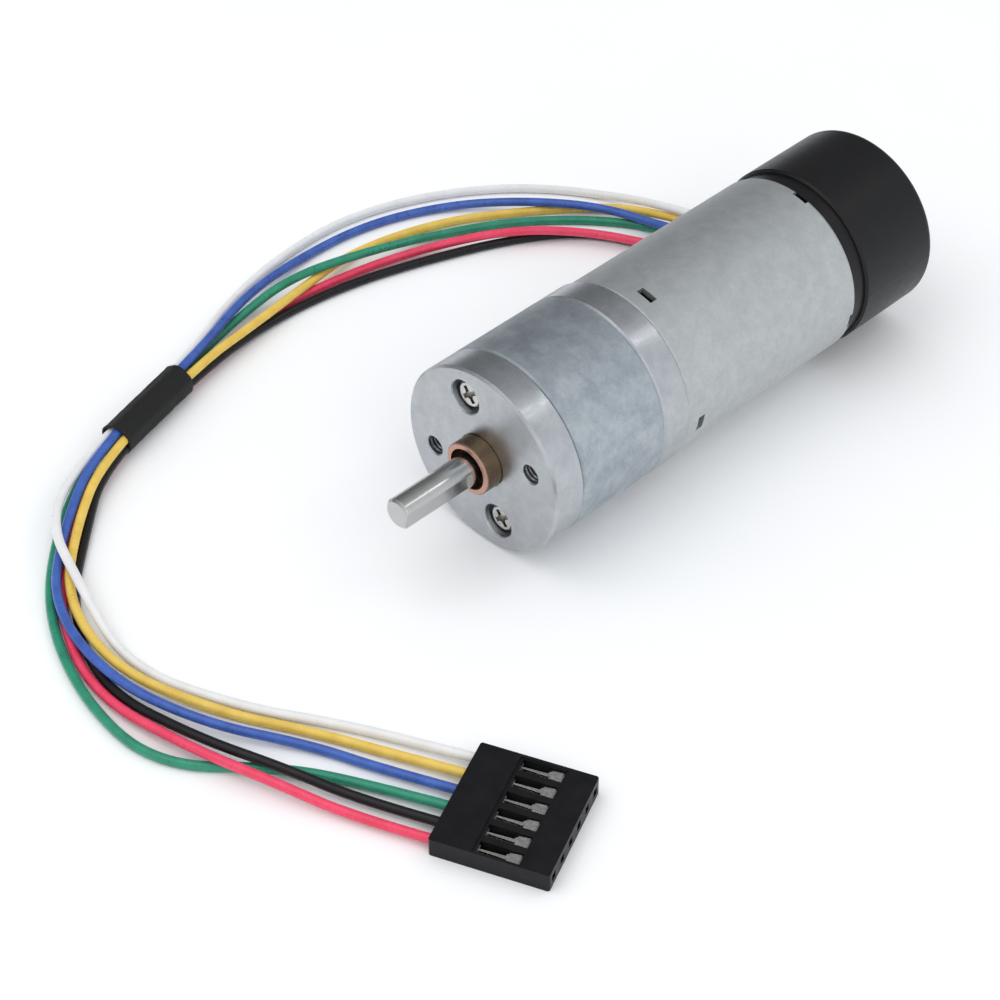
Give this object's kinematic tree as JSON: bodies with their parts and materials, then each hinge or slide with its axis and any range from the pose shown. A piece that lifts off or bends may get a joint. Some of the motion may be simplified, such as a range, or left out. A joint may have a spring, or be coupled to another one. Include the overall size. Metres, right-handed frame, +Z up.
{
  "type": "geared dc motor",
  "caption": "Brushed DC motor with a round spur gearbox, D-cut output shaft, encoder under a black rear cap and a wire lead with a crimp housing.",
  "frame": {"origin": "centre of the gearbox mounting face, on the output shaft axis", "axes": "+Y along the shaft axis from the mounting face to the rear cap, so the output shaft points along -Y; +Z up with the motor lying on its side"},
  "size_m": [0.1046, 0.1227, 0.025],
  "materials": {
    "cast_cover": "satin die cast, lightly mottled",
    "gearbox_steel": "satin plated steel",
    "plated_can": "matte zinc plated steel",
    "sintered_bronze": "oiled sintered bronze",
    "shaft_steel": "ground steel",
    "screw_steel": "bright plated",
    "gear_steel": "machined and greased",
    "brass_pinion": "machined",
    "magnet_ferrite": "matte ferrite",
    "core_steel": "stacked laminations",
    "copper": "enamelled wire",
    "carbon": "pressed carbon",
    "black_cap": "matte moulded",
    "bell_plastic": "moulded",
    "encoder_magnet": "bonded magnet",
    "board_green": "solder mask",
    "header_white": "moulded nylon",
    "wire_white": "soft insulation",
    "wire_yellow": "soft insulation",
    "wire_blue": "soft insulation",
    "wire_green": "soft insulation",
    "wire_red": "soft insulation",
    "wire_black": "soft insulation",
    "heat_shrink": "shrunk polyolefin",
    "connector_black": "moulded nylon",
    "tin_plate": "bright tin plate"
  },
  "bodies": {
    "gearmotor": {"front_cover": "cast_cover", "output_bushing": "sintered_bronze", "gearbox_housing": "gearbox_steel", "gearbox_rear_ring": "cast_cover", "gearbox_screws": "screw_steel", "motor_screws": "screw_steel", "gear_pin_a": "shaft_steel", "gear_pin_b": "shaft_steel", "pin_spacers": "shaft_steel", "motor_can": "plated_can", "motor_front_bushing": "sintered_bronze", "magnet_right": "magnet_ferrite", "magnet_left": "magnet_ferrite", "magnet_springs": "shaft_steel", "end_bell": "bell_plastic", "motor_rear_bushing": "sintered_bronze", "brushes": "carbon", "brush_terminal_upper": "brass_pinion", "brush_terminal_lower": "brass_pinion", "encoder_board": "board_green", "hall_sensors": "bell_plastic", "board_pillars": "brass_pinion", "wire_header": "header_white", "header_pins": "tin_plate", "end_cap": "black_cap", "heat_shrink_sleeve": "heat_shrink", "connector_housing": "connector_black", "connector_terminals": "tin_plate", "wire_white": "wire_white", "wire_yellow": "wire_yellow", "wire_blue": "wire_blue", "wire_green": "wire_green", "wire_red": "wire_red", "wire_black": "wire_black"},
    "rotor": {"motor_shaft": "shaft_steel", "motor_pinion": "brass_pinion", "armature_core": "core_steel", "windings": "copper", "commutator": "copper", "encoder_hub": "brass_pinion", "encoder_magnet": "encoder_magnet"},
    "compound_1": {"compound_gear_1": "gear_steel"},
    "compound_2": {"compound_gear_2": "gear_steel"},
    "compound_3": {"compound_gear_3": "gear_steel"},
    "compound_4": {"compound_gear_4": "gear_steel"},
    "output": {"output_shaft": "shaft_steel", "output_gear": "gear_steel", "thrust_washer": "shaft_steel", "retaining_clip": "shaft_steel"}
  },
  "joints": [
    {"name": "rotor_spin", "type": "hinge", "parent": "gearmotor", "child": "rotor", "pos_m": [0, 0, 0], "axis": [0, -1, 0], "continuous": true},
    {"name": "compound_1_spin", "type": "hinge", "parent": "gearmotor", "child": "compound_1", "pos_m": [-0.00627, 0, 0.00128], "axis": [0, -1, 0], "continuous": true},
    {"name": "compound_2_spin", "type": "hinge", "parent": "gearmotor", "child": "compound_2", "pos_m": [-0.00424, 0, -0.00479], "axis": [0, -1, 0], "continuous": true},
    {"name": "compound_3_spin", "type": "hinge", "parent": "gearmotor", "child": "compound_3", "pos_m": [-0.00627, 0, 0.00128], "axis": [0, -1, 0], "continuous": true},
    {"name": "compound_4_spin", "type": "hinge", "parent": "gearmotor", "child": "compound_4", "pos_m": [-0.00424, 0, -0.00479], "axis": [0, -1, 0], "continuous": true},
    {"name": "output_spin", "type": "hinge", "parent": "gearmotor", "child": "output", "pos_m": [0, 0, 0], "axis": [0, -1, 0], "continuous": true}
  ],
  "couplings": [
    {"joint": "compound_1_spin", "follows": "rotor_spin", "ratio": -0.45455},
    {"joint": "compound_2_spin", "follows": "rotor_spin", "ratio": 0.20661},
    {"joint": "compound_3_spin", "follows": "rotor_spin", "ratio": -0.080848},
    {"joint": "compound_4_spin", "follows": "rotor_spin", "ratio": 0.031636},
    {"joint": "output_spin", "follows": "rotor_spin", "ratio": -0.012379}
  ]
}
